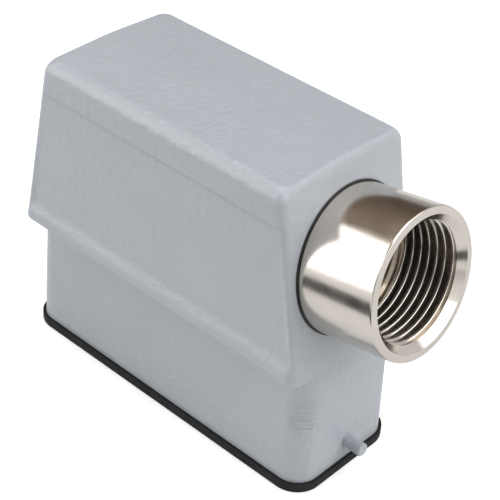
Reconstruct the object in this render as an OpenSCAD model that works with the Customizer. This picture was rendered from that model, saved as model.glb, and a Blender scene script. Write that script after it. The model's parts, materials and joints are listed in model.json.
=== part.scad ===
// Rectangular heavy duty connector: a die cast hood with a slanted cable entry,
// its screwed in thread adapter, and a ten pole plug insert with earth contacts.
// Millimetres. The rim stands on z = 0, +X points to the cable entry.

/* [Lower body] */
// Length of the lower body at its rim
rim_len = 77.6; // [76:0.1:92]
// Width of the lower body at its rim
rim_wid = 28.05; // [27.6:0.05:33]
// Corner radius of the lower body
rim_r = 5.1; // [4.2:0.1:7]
// Draft of the lower body's walls, degrees
draft = 1.3; // [0.6:0.1:2]
// Height of the ledge under the upper body
ledge_z = 29.05; // [28:0.05:34]
// Thickness of the cast walls
wall = 2.5; // [2:0.1:2.8]

/* [Upper body] */
// Width of the upper body at the ledge
head_wid = 35.6; // [34.6:0.1:41]
// Width of the upper body at its top edge
top_wid = 33.6; // [32.2:0.1:38.5]
// Height of the long top edges
top_z = 68.5; // [66:0.1:85]
// Rise of the roof ridge over the top edges
roof_rise = 0.65; // [0.3:0.05:2]
// Tilt of the end wall that carries the cable entry, degrees
entry_tilt = 10.3; // [6:0.1:12]
// Tilt of the blind end wall, degrees
far_tilt = 9; // [5:0.5:11]
// Step back of the entry end wall from the lower body, at the ledge
entry_inset = 0.5; // [0.3:0.1:1.5]
// Step back of the blind end wall from the lower body, at the ledge
far_inset = 0.65; // [0.3:0.05:1.5]
// Radius of the long top edges
top_r = 2.3; // [1.5:0.1:3.2]
// How far in the rounding of the roof's ends reaches
end_top_r = 1; // [0.6:0.1:1.8]
// Radius of the upright edges at the top
edge_r = 1.4; // [0.7:0.1:1.8]
// Radius of the upright edges at the ledge
edge_foot_r = 1.7; // [0.8:0.1:2.2]
// Radius under the long edges of the ledge
ledge_r = 1.4; // [0.6:0.1:1.7]
// Depth of the shallow panel on each long side, at its top
panel_depth = 0.25; // [0.15:0.05:0.4]
// Depth of the panel at its foot, behind the lip over the ledge
panel_foot_depth = 0.6; // [0.3:0.05:0.8]
// Height of the panel's upper edge
panel_top_z = 61; // [58:0.5:63]
// Distance from the ledge to the panel's lower edge
panel_lift = 1.9; // [1:0.1:4]
// Width of the border left beside the panel
panel_border = 1.8; // [1.4:0.1:3]
// Corner radius of the panel
panel_corner = 4; // [2:0.5:6]
// Height of the step at the panel's upper edge
panel_step = 1.1; // [0.6:0.1:2]
// Height of the ramp at the panel's foot
panel_ramp = 3.7; // [2:0.1:6]

/* [Cable entry] */
// Height where the entry axis leaves the end wall
entry_z = 49; // [47.5:0.1:50]
// Radius of the adapter sleeve
adapter_r = 14.7; // [14.2:0.1:15]
// Distance from the end wall to the adapter's rim
adapter_len = 16.85; // [14:0.05:24]
// Radius of the adapter's bore at its thread crests
bore_r = 11.6; // [10.9:0.1:12.2]
// Depth of the threaded bore
bore_depth = 15; // [11:0.5:15.2]
// Radius of the countersunk mouth
mouth_r = 13; // [12.4:0.1:13.6]
// Depth of the countersunk mouth
mouth_depth = 1.6; // [0.8:0.1:2.4]
// Radius of the spigot that screws into the hood
spigot_r = 12.45; // [12:0.05:12.7]
// Length of the spigot below the end wall's face
spigot_len = 8; // [6:0.5:10]
// Radius of the cable passage through the spigot
pass_r = 10.4; // [9:0.1:10.7]
// Radius of the seal ring under the adapter
seal_r = 15.25; // [15.1:0.05:15.6]
// Thickness of the seal ring
seal_t = 0.3; // [0.2:0.05:0.6]
// Thickness of the end wall around the entry
entry_boss = 6.5; // [4:0.5:8]
// Radius of the thickened end wall around the entry
entry_boss_r = 14.6; // [14.5:0.1:15]

/* [Locking pegs] */
// Radius of each locking peg
peg_r = 1.4; // [1.2:0.1:2.2]
// Height of the pegs over the rim plane
peg_z = 6.5; // [5.5:0.1:9]
// How far a peg stands out of the rim's end
peg_out = 4.25; // [3:0.05:6]
// Radius of the rounding on a peg's end
peg_round = 0.35; // [0.2:0.05:0.6]

/* [Rim gasket] */
// Thickness of the gasket under the rim
gasket_t = 2.15; // [1.5:0.05:2.6]
// How far the gasket stands out of the wall
gasket_lip = 0.7; // [0.4:0.1:1.2]
// Width of the tongue that sits in the rim's groove
tongue_w = 0.9; // [0.7:0.1:1.1]
// Height of the tongue
tongue_h = 1.4; // [0.8:0.1:1.8]

/* [Insert] */
// Distance from the terminal block's end to a fixing screw, along the hood
fix_step = 4.25; // [4.1:0.05:5.5]
// Spacing of the insert's fixing screws across the hood
fix_dy = 16; // [15.6:0.1:16.2]
// Height of the hood's bosses that the insert's flange meets
seat_z = 16; // [15.5:0.1:17]
// Gap between the flange's ends and the hood's inner walls, at the rim
end_gap = 2.3; // [1.8:0.1:2.8]
// Gap between the flange's long sides and the hood's inner walls, at the rim
side_gap = 0.725; // [0.6:0.025:0.9]
// Thickness of the insert's flange
flange_t = 3; // [2.6:0.1:3.4]
// Plastic beyond the last contact's place at each end of the terminal block
block_end = 1.5; // [1.2:0.1:2]
// Width of the terminal block
block_wid = 18.4; // [18:0.1:19]
// Height of the terminal block over the flange's upper face
block_h = 15; // [14:0.5:17]
// How far the collar round the contacts stands out past the terminal block's ends
collar_step = 1; // [0.5:0.1:1.2]
// Outer width of the collar round the contacts
collar_wid = 20.4; // [19.6:0.1:21]
// Wall of the collar
collar_t = 1.6; // [1.2:0.1:1.8]
// Height of the collar's edge over the rim plane
collar_z = 5; // [4.8:0.1:6]

/* [Contacts] */
// Contacts in each row
per_row = 5; // [3:1:5]
// Pitch of the contacts along a row
pitch = 7.6; // [7.2:0.1:7.8]
// Distance between the two rows
row_gap = 10.5; // [10.2:0.1:10.7]
// Radius of a contact's pin
pin_r = 1.25; // [1:0.05:1.4]
// Radius of a contact's shank inside the insert
shank_r = 1.6; // [1.5:0.05:1.9]
// Height of the pin tips over the rim plane
pin_z = 6.2; // [6:0.1:7.5]
// Length of a terminal head along the row
head_x = 5; // [4.6:0.1:5.2]
// Width of a terminal head across the row
head_y = 5.2; // [5:0.1:5.3]
// Height of a terminal head
head_h = 9.5; // [9:0.5:11]
// Thickness of plastic under a terminal head, over the flange's upper face
head_seat = 1; // [0.5:0.1:2]
// Radius of the wire hole in a terminal head
wire_r = 1.35; // [1.1:0.05:1.5]
// Depth of the wire hole
wire_depth = 7; // [6:0.5:8]
// Distance from the top of a terminal head down to its screw
screw_drop = 4; // [3.5:0.1:4.5]
// Radius of a terminal screw's head
tscrew_head_r = 1.9; // [1.7:0.05:2]
// Height of a terminal screw's head
tscrew_head_h = 1.2; // [0.9:0.1:1.3]
// Radius of a terminal screw's shank
tscrew_r = 1.2; // [1:0.05:1.25]

/* [Earth contacts] */
// Thickness of the earth bracket's sheet
sheet_t = 1.2; // [1:0.1:1.4]
// Distance from the flange's end to an earth blade
blade_edge = 3.8; // [3.2:0.1:4]
// Distance from an earth blade to the bracket's upright leg
leg_step = 2.2; // [1.8:0.1:2.3]
// Length of the bevel at a blade's tip
blade_bevel = 1.5; // [1:0.1:2.5]
// Width of an earth blade
blade_w = 6; // [5:0.5:7]
// Height of a blade's tip over the rim plane
blade_z = 5.4; // [5.2:0.1:7]
// Width of an earth bracket
bracket_w = 9; // [8:0.5:9.5]
// Height of the bracket's upright leg over the flange
leg_h = 12; // [11:0.5:13]
// Height of the earth screw over the flange
earth_screw_h = 6.6; // [6.2:0.1:7.2]
// Radius of an earth screw's shank
earth_r = 1.9; // [1.5:0.05:2]
// Radius of an earth screw's head
earth_head_r = 3.4; // [3:0.1:3.6]
// Height of an earth screw's head
earth_head_h = 2.2; // [1.6:0.1:2.6]
// Side of the square clamp washer
clamp_w = 7.4; // [7:0.1:8]
// Thickness of the clamp washer
clamp_t = 0.9; // [0.7:0.1:1.2]

/* [Fixing screws] */
// Radius of a fixing screw's shank
fix_r = 1.45; // [1.2:0.05:1.45]
// Radius of a fixing screw's head
fix_head_r = 2.6; // [2.4:0.05:2.7]
// Height of a fixing screw's head
fix_head_h = 1.9; // [1.6:0.1:2.2]
// Length of shank that enters the hood's boss
fix_grip = 6; // [4:0.5:7]
// Radius of a spring washer
washer_r = 2.6; // [2.5:0.05:2.7]
// Thickness of a spring washer
washer_t = 0.7; // [0.5:0.1:0.9]
// Radius of the hood's bosses
boss_r = 3.1; // [2.9:0.1:3.2]
// Height of the hood's bosses
boss_h = 11; // [9:0.5:12]
// Thickness of the web between a boss and the wall
web_t = 3; // [2:0.1:4]
// Width of a screwdriver slot
slot_w = 0.7; // [0.5:0.1:0.9]
// Depth of a screwdriver slot
slot_d = 0.8; // [0.5:0.1:0.9]
// Clearance of a moulded or drilled hole round what it holds
fit_gap = 0.05; // [0.03:0.01:0.1]
// Clearance of the pockets round the terminal heads
pocket_gap = 0.1; // [0.05:0.05:0.2]

/* [Hidden] */
$fn = 48;
eps = 0.01;
seam = 0.02;
far_away = 60;
// walls of the lower body at a height
function low_x(z) = rim_len / 2 - (z - gasket_t) * tan(draft);
function low_y(z) = rim_wid / 2 - (z - gasket_t) * tan(draft);
// walls of the upper body at a height
function head_y_at(z) = head_wid / 2 - (z - ledge_z) * (head_wid - top_wid) / 2 / (top_z - ledge_z);
function far_x(z) = -(low_x(ledge_z) - far_inset) + (z - ledge_z) * tan(far_tilt);
function entry_x(z) = low_x(ledge_z) - entry_inset - (z - ledge_z) * tan(entry_tilt);
side_lean = atan((head_wid - top_wid) / 2 / (top_z - ledge_z));
ridge_z = top_z + roof_rise;
entry_bore_r = spigot_r + fit_gap;
flange_z = seat_z - flange_t;
flange_len = rim_len - 2 * wall - 2 * end_gap;
flange_wid = rim_wid - 2 * wall - 2 * side_gap;
block_len = per_row * pitch + 2 * block_end;
collar_len = block_len + 2 * collar_step;
fix_dx = block_len + 2 * fix_step;
head_z = seat_z + head_seat;
head_top = head_z + head_h;
tscrew_z = head_top - screw_drop;
row_y = row_gap / 2;
first_x = -(per_row - 1) * pitch / 2;
blade_x = flange_len / 2 - blade_edge;
leg_x = blade_x + leg_step;
boss_hole_r = fix_r + fit_gap;
groove_mid = wall / 2;

// rounded rectangle round the origin
module plan(len, wid, r) {
    offset(r = r) square([len - 2 * r, wid - 2 * r], center = true);
}
// outline of the lower body, drawn in by an inset at a height
module low_plan(z, inset) {
    plan(2 * (low_x(z) - inset), 2 * (low_y(z) - inset), max(rim_r - inset, 0.8));
}
// drafted block between two heights, its walls drawn in by an inset
module low_block(z0, z1, inset) {
    hull() {
        translate([0, 0, z0]) linear_extrude(eps) low_plan(z0, inset);
        translate([0, 0, z1 - eps]) linear_extrude(eps) low_plan(z1, inset);
    }
}
// everything between the two slanted end walls, drawn in by an inset
module between_ends(z0, z1, inset) {
    rotate([90, 0, 0])
        linear_extrude(2 * far_away, center = true)
            polygon([[far_x(z0) + inset / cos(far_tilt), z0], [entry_x(z0) - inset / cos(entry_tilt), z0],
                [entry_x(z1) - inset / cos(entry_tilt), z1], [far_x(z1) + inset / cos(far_tilt), z1]]);
}
// one level of the upper body, its upper face on the slanted walls
module head_level(z, ix, iy, r = edge_r) {
    x0 = far_x(z) + ix;
    x1 = entry_x(z) - ix;
    translate([(x0 + x1) / 2, 0, z - eps])
        linear_extrude(eps) plan(x1 - x0, 2 * (head_y_at(z) - iy), r);
}
// upper body: slanted ends, leaning sides, rounded top edges and a low ridged roof
module head_outer() {
    hull($fn = 32) {
        for (a = [0 : 30 : 90])
            head_level(ledge_z + eps + ledge_r * (1 - sin(a)), 0, ledge_r * (1 - cos(a)), edge_foot_r, $fn = 24);
        for (a = [0 : 15 : 90])
            head_level(top_z - top_r * (1 - sin(a)), end_top_r * (1 - cos(a)), top_r * (1 - cos(a)), $fn = 24);
        translate([far_x(top_z) + end_top_r, -eps, ridge_z - eps])
            cube([entry_x(top_z) - far_x(top_z) - 2 * end_top_r, 2 * eps, eps]);
    }
}
// hollow of the upper body
module head_hollow() {
    z0 = ledge_z + wall;
    z1 = top_z - wall;
    intersection() {
        rotate([90, 0, 90])
            linear_extrude(2 * far_away, center = true)
                polygon([[-(head_y_at(z0) - wall), z0], [head_y_at(z0) - wall, z0],
                    [head_y_at(z1) - wall, z1], [0, z1 + roof_rise], [-(head_y_at(z1) - wall), z1]]);
        between_ends(ledge_z, ridge_z, wall);
    }
}
// shallow panel on the long side at -Y: a short step at its top, a long ramp at its foot
module side_panel() {
    z0 = ledge_z + panel_lift;
    intersection() {
        translate([0, -head_y_at(z0), z0])
            rotate([-side_lean, 0, 0])
                rotate([90, 0, 90])
                    linear_extrude(2 * far_away, center = true)
                        polygon([[0, 0], [panel_foot_depth, panel_ramp], [panel_depth, panel_top_z - z0 - panel_step],
                            [0, panel_top_z - z0], [-1, panel_top_z - z0], [-1, 0]]);
        rotate([90, 0, 0])
            linear_extrude(far_away)
                offset(r = panel_corner) offset(delta = -panel_corner - panel_border)
                    polygon([[far_x(0), 0], [entry_x(0), 0],
                        [entry_x(panel_top_z + panel_border), panel_top_z + panel_border],
                        [far_x(panel_top_z + panel_border), panel_top_z + panel_border]]);
    }
}
// cast peg on the end wall at +X, its free end rounded
module peg() {
    translate([low_x(peg_z) - wall / 2, 0, peg_z])
        rotate([0, 90, 0])
            rotate_extrude() {
                len = rim_len / 2 + peg_out - low_x(peg_z) + wall / 2;
                square([peg_r, len - peg_round]);
                square([peg_r - peg_round, len]);
                translate([peg_r - peg_round, len - peg_round]) circle(peg_round);
            }
}
// places its children on the entry axis, z = 0 on the end wall's face
module at_entry() {
    translate([entry_x(entry_z), 0, entry_z]) rotate([0, 90 - entry_tilt, 0]) children();
}
// places its children at the four fixing screws
module at_fixings() {
    for (x = [-1, 1])
        for (y = [-1, 1])
            translate([x * fix_dx / 2, y * fix_dy / 2, 0]) children();
}
// places its children at each contact, turned so that +Y points out of the insert
module at_contact(i) {
    row = i < per_row ? 1 : -1;
    translate([first_x + (i % per_row) * pitch, row * row_y, 0]) scale([1, row, 1]) children();
}
// boss for a fixing screw with its web to the long wall
module boss() {
    at_fixings() translate([0, 0, seat_z]) cylinder(r = boss_r, h = boss_h);
    for (x = [-1, 1])
        for (y = [-1, 1])
            translate([x * fix_dx / 2 - web_t / 2, y > 0 ? fix_dy / 2 : -low_y(ledge_z) + wall / 2, seat_z + 1])
                cube([web_t, low_y(ledge_z) - wall / 2 - fix_dy / 2, boss_h - 1]);
}

module hood_shell() {
    color("lightsteelblue")
        difference() {
            union() {
                difference() {
                    union() {
                        intersection() {
                            low_block(gasket_t, ledge_z + wall / 2, 0);
                            between_ends(-1, ledge_z + wall, seam);
                        }
                        head_outer();
                    }
                    intersection() {
                        low_block(gasket_t - 1, ledge_z + wall + 1, wall);
                        between_ends(-1, ledge_z + wall + 2, wall + seam);
                    }
                    head_hollow();
                    side_panel();
                    mirror([0, 1, 0]) side_panel();
                }
                boss();
                peg();
                mirror([1, 0, 0]) peg();
                at_entry() translate([0, 0, -entry_boss]) cylinder(r = entry_boss_r, h = entry_boss - wall / 2);
            }
            translate([0, 0, gasket_t - 1])
                linear_extrude(tongue_h + 1.1)
                    difference() {
                        low_plan(gasket_t, groove_mid - tongue_w / 2 - fit_gap);
                        low_plan(gasket_t, groove_mid + tongue_w / 2 + fit_gap);
                    }
            at_fixings() translate([0, 0, seat_z - 1]) cylinder(r = boss_hole_r, h = fix_grip + 2);
            at_entry() translate([0, 0, -entry_boss - 1]) cylinder(r = entry_bore_r, h = entry_boss + 3);
        }
}

module rim_gasket() {
    color("black") {
        linear_extrude(gasket_t)
            difference() {
                low_plan(gasket_t, -gasket_lip);
                low_plan(gasket_t, wall - 0.2);
            }
        translate([0, 0, gasket_t - eps])
            linear_extrude(tongue_h + eps)
                difference() {
                    low_plan(gasket_t, groove_mid - tongue_w / 2);
                    low_plan(gasket_t, groove_mid + tongue_w / 2);
                }
    }
}

module adapter_seal_ring() {
    color("dimgray")
        at_entry()
            difference() {
                cylinder(r = seal_r, h = seal_t);
                translate([0, 0, -1]) cylinder(r = entry_bore_r, h = seal_t + 2);
            }
}

module cable_entry_adapter() {
    bevel = 0.25;
    color("silver")
        at_entry()
            rotate_extrude()
                polygon([[pass_r, -spigot_len], [spigot_r - 0.5, -spigot_len], [spigot_r, -spigot_len + 0.5],
                    [spigot_r, seal_t], [adapter_r - bevel, seal_t], [adapter_r, seal_t + bevel],
                    [adapter_r, adapter_len - bevel], [adapter_r - bevel, adapter_len],
                    [mouth_r, adapter_len], [bore_r, adapter_len - mouth_depth],
                    [bore_r, adapter_len - bore_depth], [pass_r, adapter_len - bore_depth]]);
}

module insert_body() {
    color("gainsboro")
        difference() {
            union() {
                translate([0, 0, flange_z]) linear_extrude(flange_t) plan(flange_len, flange_wid, 2);
                translate([0, 0, seat_z - 1]) linear_extrude(block_h + 1) plan(block_len, block_wid, 1);
                translate([0, 0, collar_z])
                    linear_extrude(flange_z - collar_z + 1)
                        difference() {
                            plan(collar_len, collar_wid, 2);
                            plan(collar_len - 2 * collar_t, collar_wid - 2 * collar_t, 1);
                        }
            }
            for (i = [0 : 2 * per_row - 1])
                at_contact(i) {
                    translate([0, 0, flange_z - 1]) cylinder(r = shank_r + fit_gap, h = flange_t + head_seat + 2);
                    translate([-head_x / 2 - pocket_gap, -head_y / 2 - pocket_gap, head_z])
                        cube([head_x + 2 * pocket_gap, head_y + 2 * pocket_gap, block_h + 2]);
                    translate([0, head_y / 2, tscrew_z])
                        rotate([-90, 0, 0]) cylinder(r = tscrew_head_r + 2 * fit_gap, h = block_wid);
                }
            at_fixings() translate([0, 0, flange_z - 1]) cylinder(r = fix_r + 4 * fit_gap, h = flange_t + 2);
            for (x = [-1, 1])
                translate([x * blade_x, 0, flange_z + flange_t / 2])
                    cube([sheet_t + 2 * fit_gap, blade_w + 2 * fit_gap, flange_t + 2], center = true);
        }
}

// one piece contact: turned pin below, drilled and tapped terminal head above
module contact(i) {
    at_contact(i)
        difference() {
            union() {
                translate([0, 0, pin_z])
                    rotate_extrude() {
                        translate([0, pin_r * 0.6]) square([pin_r, head_z - pin_z]);
                        translate([0, flange_z - pin_z]) square([shank_r, head_z - flange_z + eps]);
                        square([pin_r * 0.4, head_z - pin_z]);
                        intersection() {
                            translate([pin_r * 0.4, pin_r * 0.6]) circle(pin_r * 0.6);
                            square([pin_r, pin_r]);
                        }
                    }
                translate([-head_x / 2, -head_y / 2, head_z]) cube([head_x, head_y, head_h]);
            }
            translate([0, 0, head_top - wire_depth]) cylinder(r = wire_r, h = wire_depth + 1);
            translate([0, 0, tscrew_z]) rotate([-90, 0, 0]) cylinder(r = tscrew_r + fit_gap, h = head_y);
        }
}
module contact_1() { color("silver") contact(0); }
module contact_2() { color("silver") contact(1); }
module contact_3() { color("silver") contact(2); }
module contact_4() { color("silver") contact(3); }
module contact_5() { color("silver") contact(4); }
module contact_6() { color("silver") contact(5); }
module contact_7() { color("silver") contact(6); }
module contact_8() { color("silver") contact(7); }
module contact_9() { color("silver") contact(8); }
module contact_10() { color("silver") contact(9); }

// slotted screw: shank from z = 0 downwards, head above
module slotted_screw(shank_r, shank_len, head_r, head_h) {
    difference() {
        union() {
            translate([0, 0, -shank_len]) cylinder(r = shank_r, h = shank_len + eps);
            cylinder(r = head_r, h = head_h);
        }
        translate([-head_r - 1, -slot_w / 2, head_h - slot_d]) cube([2 * head_r + 2, slot_w, slot_d + 1]);
    }
}

module terminal_screws() {
    color("gainsboro")
        for (i = [0 : 2 * per_row - 1])
            at_contact(i)
                translate([0, head_y / 2, tscrew_z])
                    rotate([-90, 0, 0])
                        slotted_screw(tscrew_r, head_y / 2 - wire_r, tscrew_head_r, tscrew_head_h);
}

// earth bracket at +X: foot on the flange, blade down through it, leg up with a tapped hole
module earth_bracket() {
    difference() {
        union() {
            translate([blade_x - sheet_t / 2, -bracket_w / 2, seat_z])
                cube([leg_x - blade_x + sheet_t, bracket_w, sheet_t]);
            translate([leg_x - sheet_t / 2, -bracket_w / 2, seat_z]) cube([sheet_t, bracket_w, leg_h]);
            translate([blade_x, 0, 0])
                rotate([90, 0, 90])
                    linear_extrude(sheet_t, center = true)
                        polygon([[-blade_w / 2 + 1, blade_z], [blade_w / 2 - 1, blade_z], [blade_w / 2, blade_z + blade_bevel],
                            [blade_w / 2, seat_z + sheet_t / 2], [-blade_w / 2, seat_z + sheet_t / 2],
                            [-blade_w / 2, blade_z + blade_bevel]]);
        }
        translate([leg_x - sheet_t, 0, seat_z + earth_screw_h])
            rotate([0, 90, 0]) cylinder(r = earth_r + fit_gap, h = 2 * sheet_t);
    }
}
module earth_bracket_entry() { color("goldenrod") earth_bracket(); }
module earth_bracket_far() { color("goldenrod") mirror([1, 0, 0]) earth_bracket(); }

module earth_screws() {
    color("gainsboro")
        for (s = [0, 1])
            mirror([s, 0, 0])
                translate([leg_x - sheet_t / 2 - clamp_t, 0, seat_z + earth_screw_h])
                    rotate([0, -90, 0])
                        slotted_screw(earth_r, clamp_t + sheet_t + 1, earth_head_r, earth_head_h);
}

module earth_clamp_washers() {
    color("silver")
        for (s = [0, 1])
            mirror([s, 0, 0])
                translate([leg_x - sheet_t / 2 - clamp_t, 0, seat_z + earth_screw_h])
                    rotate([0, 90, 0])
                        linear_extrude(clamp_t)
                            difference() {
                                square([clamp_w, clamp_w], center = true);
                                circle(earth_r + fit_gap);
                            }
}

module fixing_screws() {
    color("gainsboro")
        at_fixings()
            translate([0, 0, flange_z - washer_t])
                rotate([180, 0, 0])
                    slotted_screw(fix_r, washer_t + flange_t + fix_grip, fix_head_r, fix_head_h);
}

module fixing_washers() {
    color("darkgray")
        at_fixings()
            translate([0, 0, flange_z - washer_t])
                difference() {
                    cylinder(r = washer_r, h = washer_t);
                    translate([0, 0, -1]) cylinder(r = fix_r + fit_gap, h = washer_t + 2);
                }
}

hood_shell();
rim_gasket();
adapter_seal_ring();
cable_entry_adapter();
insert_body();
contact_1();
contact_2();
contact_3();
contact_4();
contact_5();
contact_6();
contact_7();
contact_8();
contact_9();
contact_10();
terminal_screws();
earth_bracket_entry();
earth_bracket_far();
earth_screws();
earth_clamp_washers();
fixing_screws();
fixing_washers();
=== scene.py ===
# %% [markdown]
# # A cast connector hood, its nickel adapter and its insert
# The frame holds the measured solids: a hood cast in aluminium, a rim gasket, a turned adapter
# with its seal ring, and the insert with contacts and screws. The small inner pieces are kept as
# they are and only get finishes. The hood, the adapter, the seal ring and the gasket are modelled
# again here, because soft edges, a cut thread and a rubber lip need more than flat facets.

# %% Load the frame
import json
import math

import bpy
from mathutils import Matrix, Vector


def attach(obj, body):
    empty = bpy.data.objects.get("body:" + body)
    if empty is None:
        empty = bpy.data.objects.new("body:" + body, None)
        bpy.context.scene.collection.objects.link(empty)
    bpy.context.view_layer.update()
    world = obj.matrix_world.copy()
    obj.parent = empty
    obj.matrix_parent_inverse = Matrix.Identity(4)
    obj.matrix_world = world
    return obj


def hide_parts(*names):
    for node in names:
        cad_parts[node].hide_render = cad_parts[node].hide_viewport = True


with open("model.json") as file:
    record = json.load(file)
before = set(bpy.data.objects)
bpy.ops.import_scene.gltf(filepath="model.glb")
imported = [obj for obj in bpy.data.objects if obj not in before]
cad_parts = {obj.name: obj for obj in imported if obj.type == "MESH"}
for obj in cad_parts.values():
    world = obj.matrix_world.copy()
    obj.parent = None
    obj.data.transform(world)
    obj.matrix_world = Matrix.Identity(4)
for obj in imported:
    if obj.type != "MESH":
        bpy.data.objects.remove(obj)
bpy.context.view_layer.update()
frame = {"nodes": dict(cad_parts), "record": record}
nodes = frame["nodes"]
MM = 0.001
# points closer than the first, in metres, count as the same, and the second merges a seam
SAME, MERGE = 1e-6, 2e-6
print("frame nodes:", len(nodes))

# %% [markdown]
# # Where the camera stands
# A picture taken from close by shows perspective: the near end of the hood is larger than the
# far end. The camera's place, its aim and its long lens were worked out from straight edges of
# the object, so the same edges fall on the same pixels. The three columns of the matrix are the
# camera's right, up and backward directions.

# %% Camera
azimuth, elevation, roll = (math.radians(a) for a in (40.374, 36.186, 4.277))
# the eye's place in millimetres, seen from a point in the middle of the hood
MIDDLE_Z, EYE_RIGHT, EYE_UP, EYE_BACK = 38, 7.26, -4.686, 293.152
FOCAL_PIXELS, PICTURE_PIXELS, SENSOR_MM = 1468.43, 500, 36


def unit(v):
    return Vector(v).normalized()


back = unit((math.sin(azimuth) * math.cos(elevation),
             -math.cos(azimuth) * math.cos(elevation),
             math.sin(elevation)))
level_right = unit((math.cos(azimuth), math.sin(azimuth), 0))
level_up = back.cross(level_right)
right = math.cos(roll) * level_right + math.sin(roll) * level_up
up = -math.sin(roll) * level_right + math.cos(roll) * level_up
eye = (Vector((0, 0, MIDDLE_Z)) + EYE_RIGHT * right + EYE_UP * up + EYE_BACK * back) * MM
bpy.ops.object.camera_add(location=eye)
camera = bpy.context.object
camera.rotation_euler = Matrix((right, up, back)).transposed().to_euler()
camera.data.sensor_width = SENSOR_MM
camera.data.lens = FOCAL_PIXELS / PICTURE_PIXELS * SENSOR_MM
camera.data.clip_start = 0.01
bpy.context.scene.camera = camera
print("camera at", [round(x, 4) for x in eye], "lens", round(camera.data.lens, 1))

# %% [markdown]
# # Tools for selecting
# Most steps below are the same few moves: start from a primitive, choose some faces or edges by
# their place, and run one operator on them. Everything is deselected first, because an operator
# acts on all that is selected.

# %% Selecting
def only(thing):
    if bpy.context.object and bpy.context.object.mode != "OBJECT":
        bpy.ops.object.mode_set(mode="OBJECT")
    bpy.ops.object.select_all(action="DESELECT")
    thing.select_set(True)
    bpy.context.view_layer.objects.active = thing


def choose(thing, kind, test):
    """Enters edit mode with the parts that pass the test selected, and says how many they are.

    The test gets a vertex's place, an edge's two ends, or a face's middle and normal."""
    only(thing)
    mesh = thing.data
    bpy.ops.object.mode_set(mode="EDIT")
    bpy.ops.mesh.select_mode(type=kind)
    bpy.ops.mesh.select_all(action="DESELECT")
    bpy.ops.object.mode_set(mode="OBJECT")
    at = [v.co.copy() for v in mesh.vertices]
    if kind == "VERT":
        found = [(v, (v.co,)) for v in mesh.vertices]
    elif kind == "EDGE":
        found = [(e, (at[e.vertices[0]], at[e.vertices[1]])) for e in mesh.edges]
    else:
        found = [(f, (f.center, f.normal)) for f in mesh.polygons]
    picked = 0
    for part, where in found:
        part.select = test(*where)
        picked += part.select
    bpy.ops.object.mode_set(mode="EDIT")
    return picked


def done():
    bpy.ops.object.mode_set(mode="OBJECT")


# %% [markdown]
# # Tools for shaping
# Two primitives are enough to start from, a box and a round rod. A cut or a join between two
# bodies is a Boolean modifier that is applied at once, so that every piece ends as one plain mesh.
# A place is given to the mesh itself, and the object stays at the origin, where the export wants
# it.

# %% Simple bodies, cuts and joins
def at_origin(name):
    """Names the new object and moves its place and size into its mesh."""
    thing = bpy.context.object
    thing.name = name
    bpy.ops.object.transform_apply(location=True, rotation=True, scale=True)
    return thing


def block(name, low, high):
    """A box between two corners, given in millimetres."""
    low, high = Vector(low) * MM, Vector(high) * MM
    bpy.ops.object.select_all(action="DESELECT")
    bpy.ops.mesh.primitive_cube_add(size=1, location=(low + high) / 2, scale=high - low)
    return at_origin(name)


def rod(name, radius, low, high, sides):
    """An upright cylinder round the Z axis, given in millimetres."""
    bpy.ops.object.select_all(action="DESELECT")
    bpy.ops.mesh.primitive_cylinder_add(vertices=sides, radius=radius * MM, depth=(high - low) * MM,
                                        location=(0, 0, (low + high) / 2 * MM))
    return at_origin(name)


def place(thing, matrix):
    thing.data.transform(matrix)
    return thing


def move(x, y, z):
    """A matrix that moves by millimetres."""
    return Matrix.Translation(Vector((x, y, z)) * MM)


def combine(body, tool, how):
    """Boolean between two closed bodies; the tool is used up."""
    only(body)
    bpy.ops.object.modifier_add(type="BOOLEAN")
    step = body.modifiers[-1]
    step.operation, step.solver, step.object = how, "EXACT", tool
    bpy.ops.object.modifier_apply(modifier=step.name)
    bpy.data.objects.remove(tool, do_unlink=True)
    return body


def trim(thing, point, normal):
    """Cuts away what lies in front of a plane and closes the cut."""
    choose(thing, "FACE", lambda c, n: True)
    bpy.ops.mesh.bisect(plane_co=Vector(point) * MM, plane_no=normal, use_fill=True,
                        clear_outer=True, threshold=1e-7)
    done()
    return thing


def bevel(thing, radius, steps, test):
    """Rounds the edges that pass a test of their two ends."""
    count = choose(thing, "EDGE", test)
    bpy.ops.mesh.bevel(offset=radius * MM, offset_type="OFFSET", segments=steps, profile=0.5,
                       affect="EDGES", clamp_overlap=False)
    done()
    return count


# %% [markdown]
# # Tools for finishing
# Smooth shading alone makes flat walls look swollen beside a rounded edge. Face weighted normals
# cure that: the large flat face decides the normal of the points it shares. A finished piece is
# then tied to the frame: it gets its finish, rides on the root body and replaces its solid.

# %% Shading and hand-over
def soften(thing, angle):
    """Smooth shading with face weighted normals; edges sharper than the angle stay sharp."""
    only(thing)
    bpy.ops.object.shade_smooth_by_angle(angle=math.radians(angle))
    bpy.ops.object.modifier_add(type="WEIGHTED_NORMAL")
    thing.modifiers[-1].keep_sharp = True
    bpy.ops.object.modifier_apply(modifier=thing.modifiers[-1].name)
    return thing


def finish_piece(thing, replaced, material):
    """Gives a piece its finish and its place on the frame."""
    thing.data.materials.clear()
    thing.data.materials.append(material)
    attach(thing, "root")
    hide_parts(*replaced)
    print(thing.name, "faces:", len(thing.data.polygons))
    return thing


# %% [markdown]
# # The hood's own measures
# The casting is two drafted boxes. The lower one has well rounded corners. The upper one is wider
# across, so its underside shows as a ledge, and its end walls lean inwards and cut the tops of
# the lower body's end walls too. The adapter stands square on the leaning end wall that is
# nearer to the camera. These are the values that both boxes are made from.

# %% Measures, in millimetres
# the lower body's foot, on the gasket: length, width and corner radius, and the gasket's thickness
rim_len, rim_wid, rim_r, gasket_t = 77.6, 28.05, 5.1, 2.15
# heights of the ledge and of the roof's border, rise of its ridge, and the walls' thickness
ledge_z, top_z, roof_rise, wall = 29.05, 68.65, 0.5, 2.5
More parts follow.
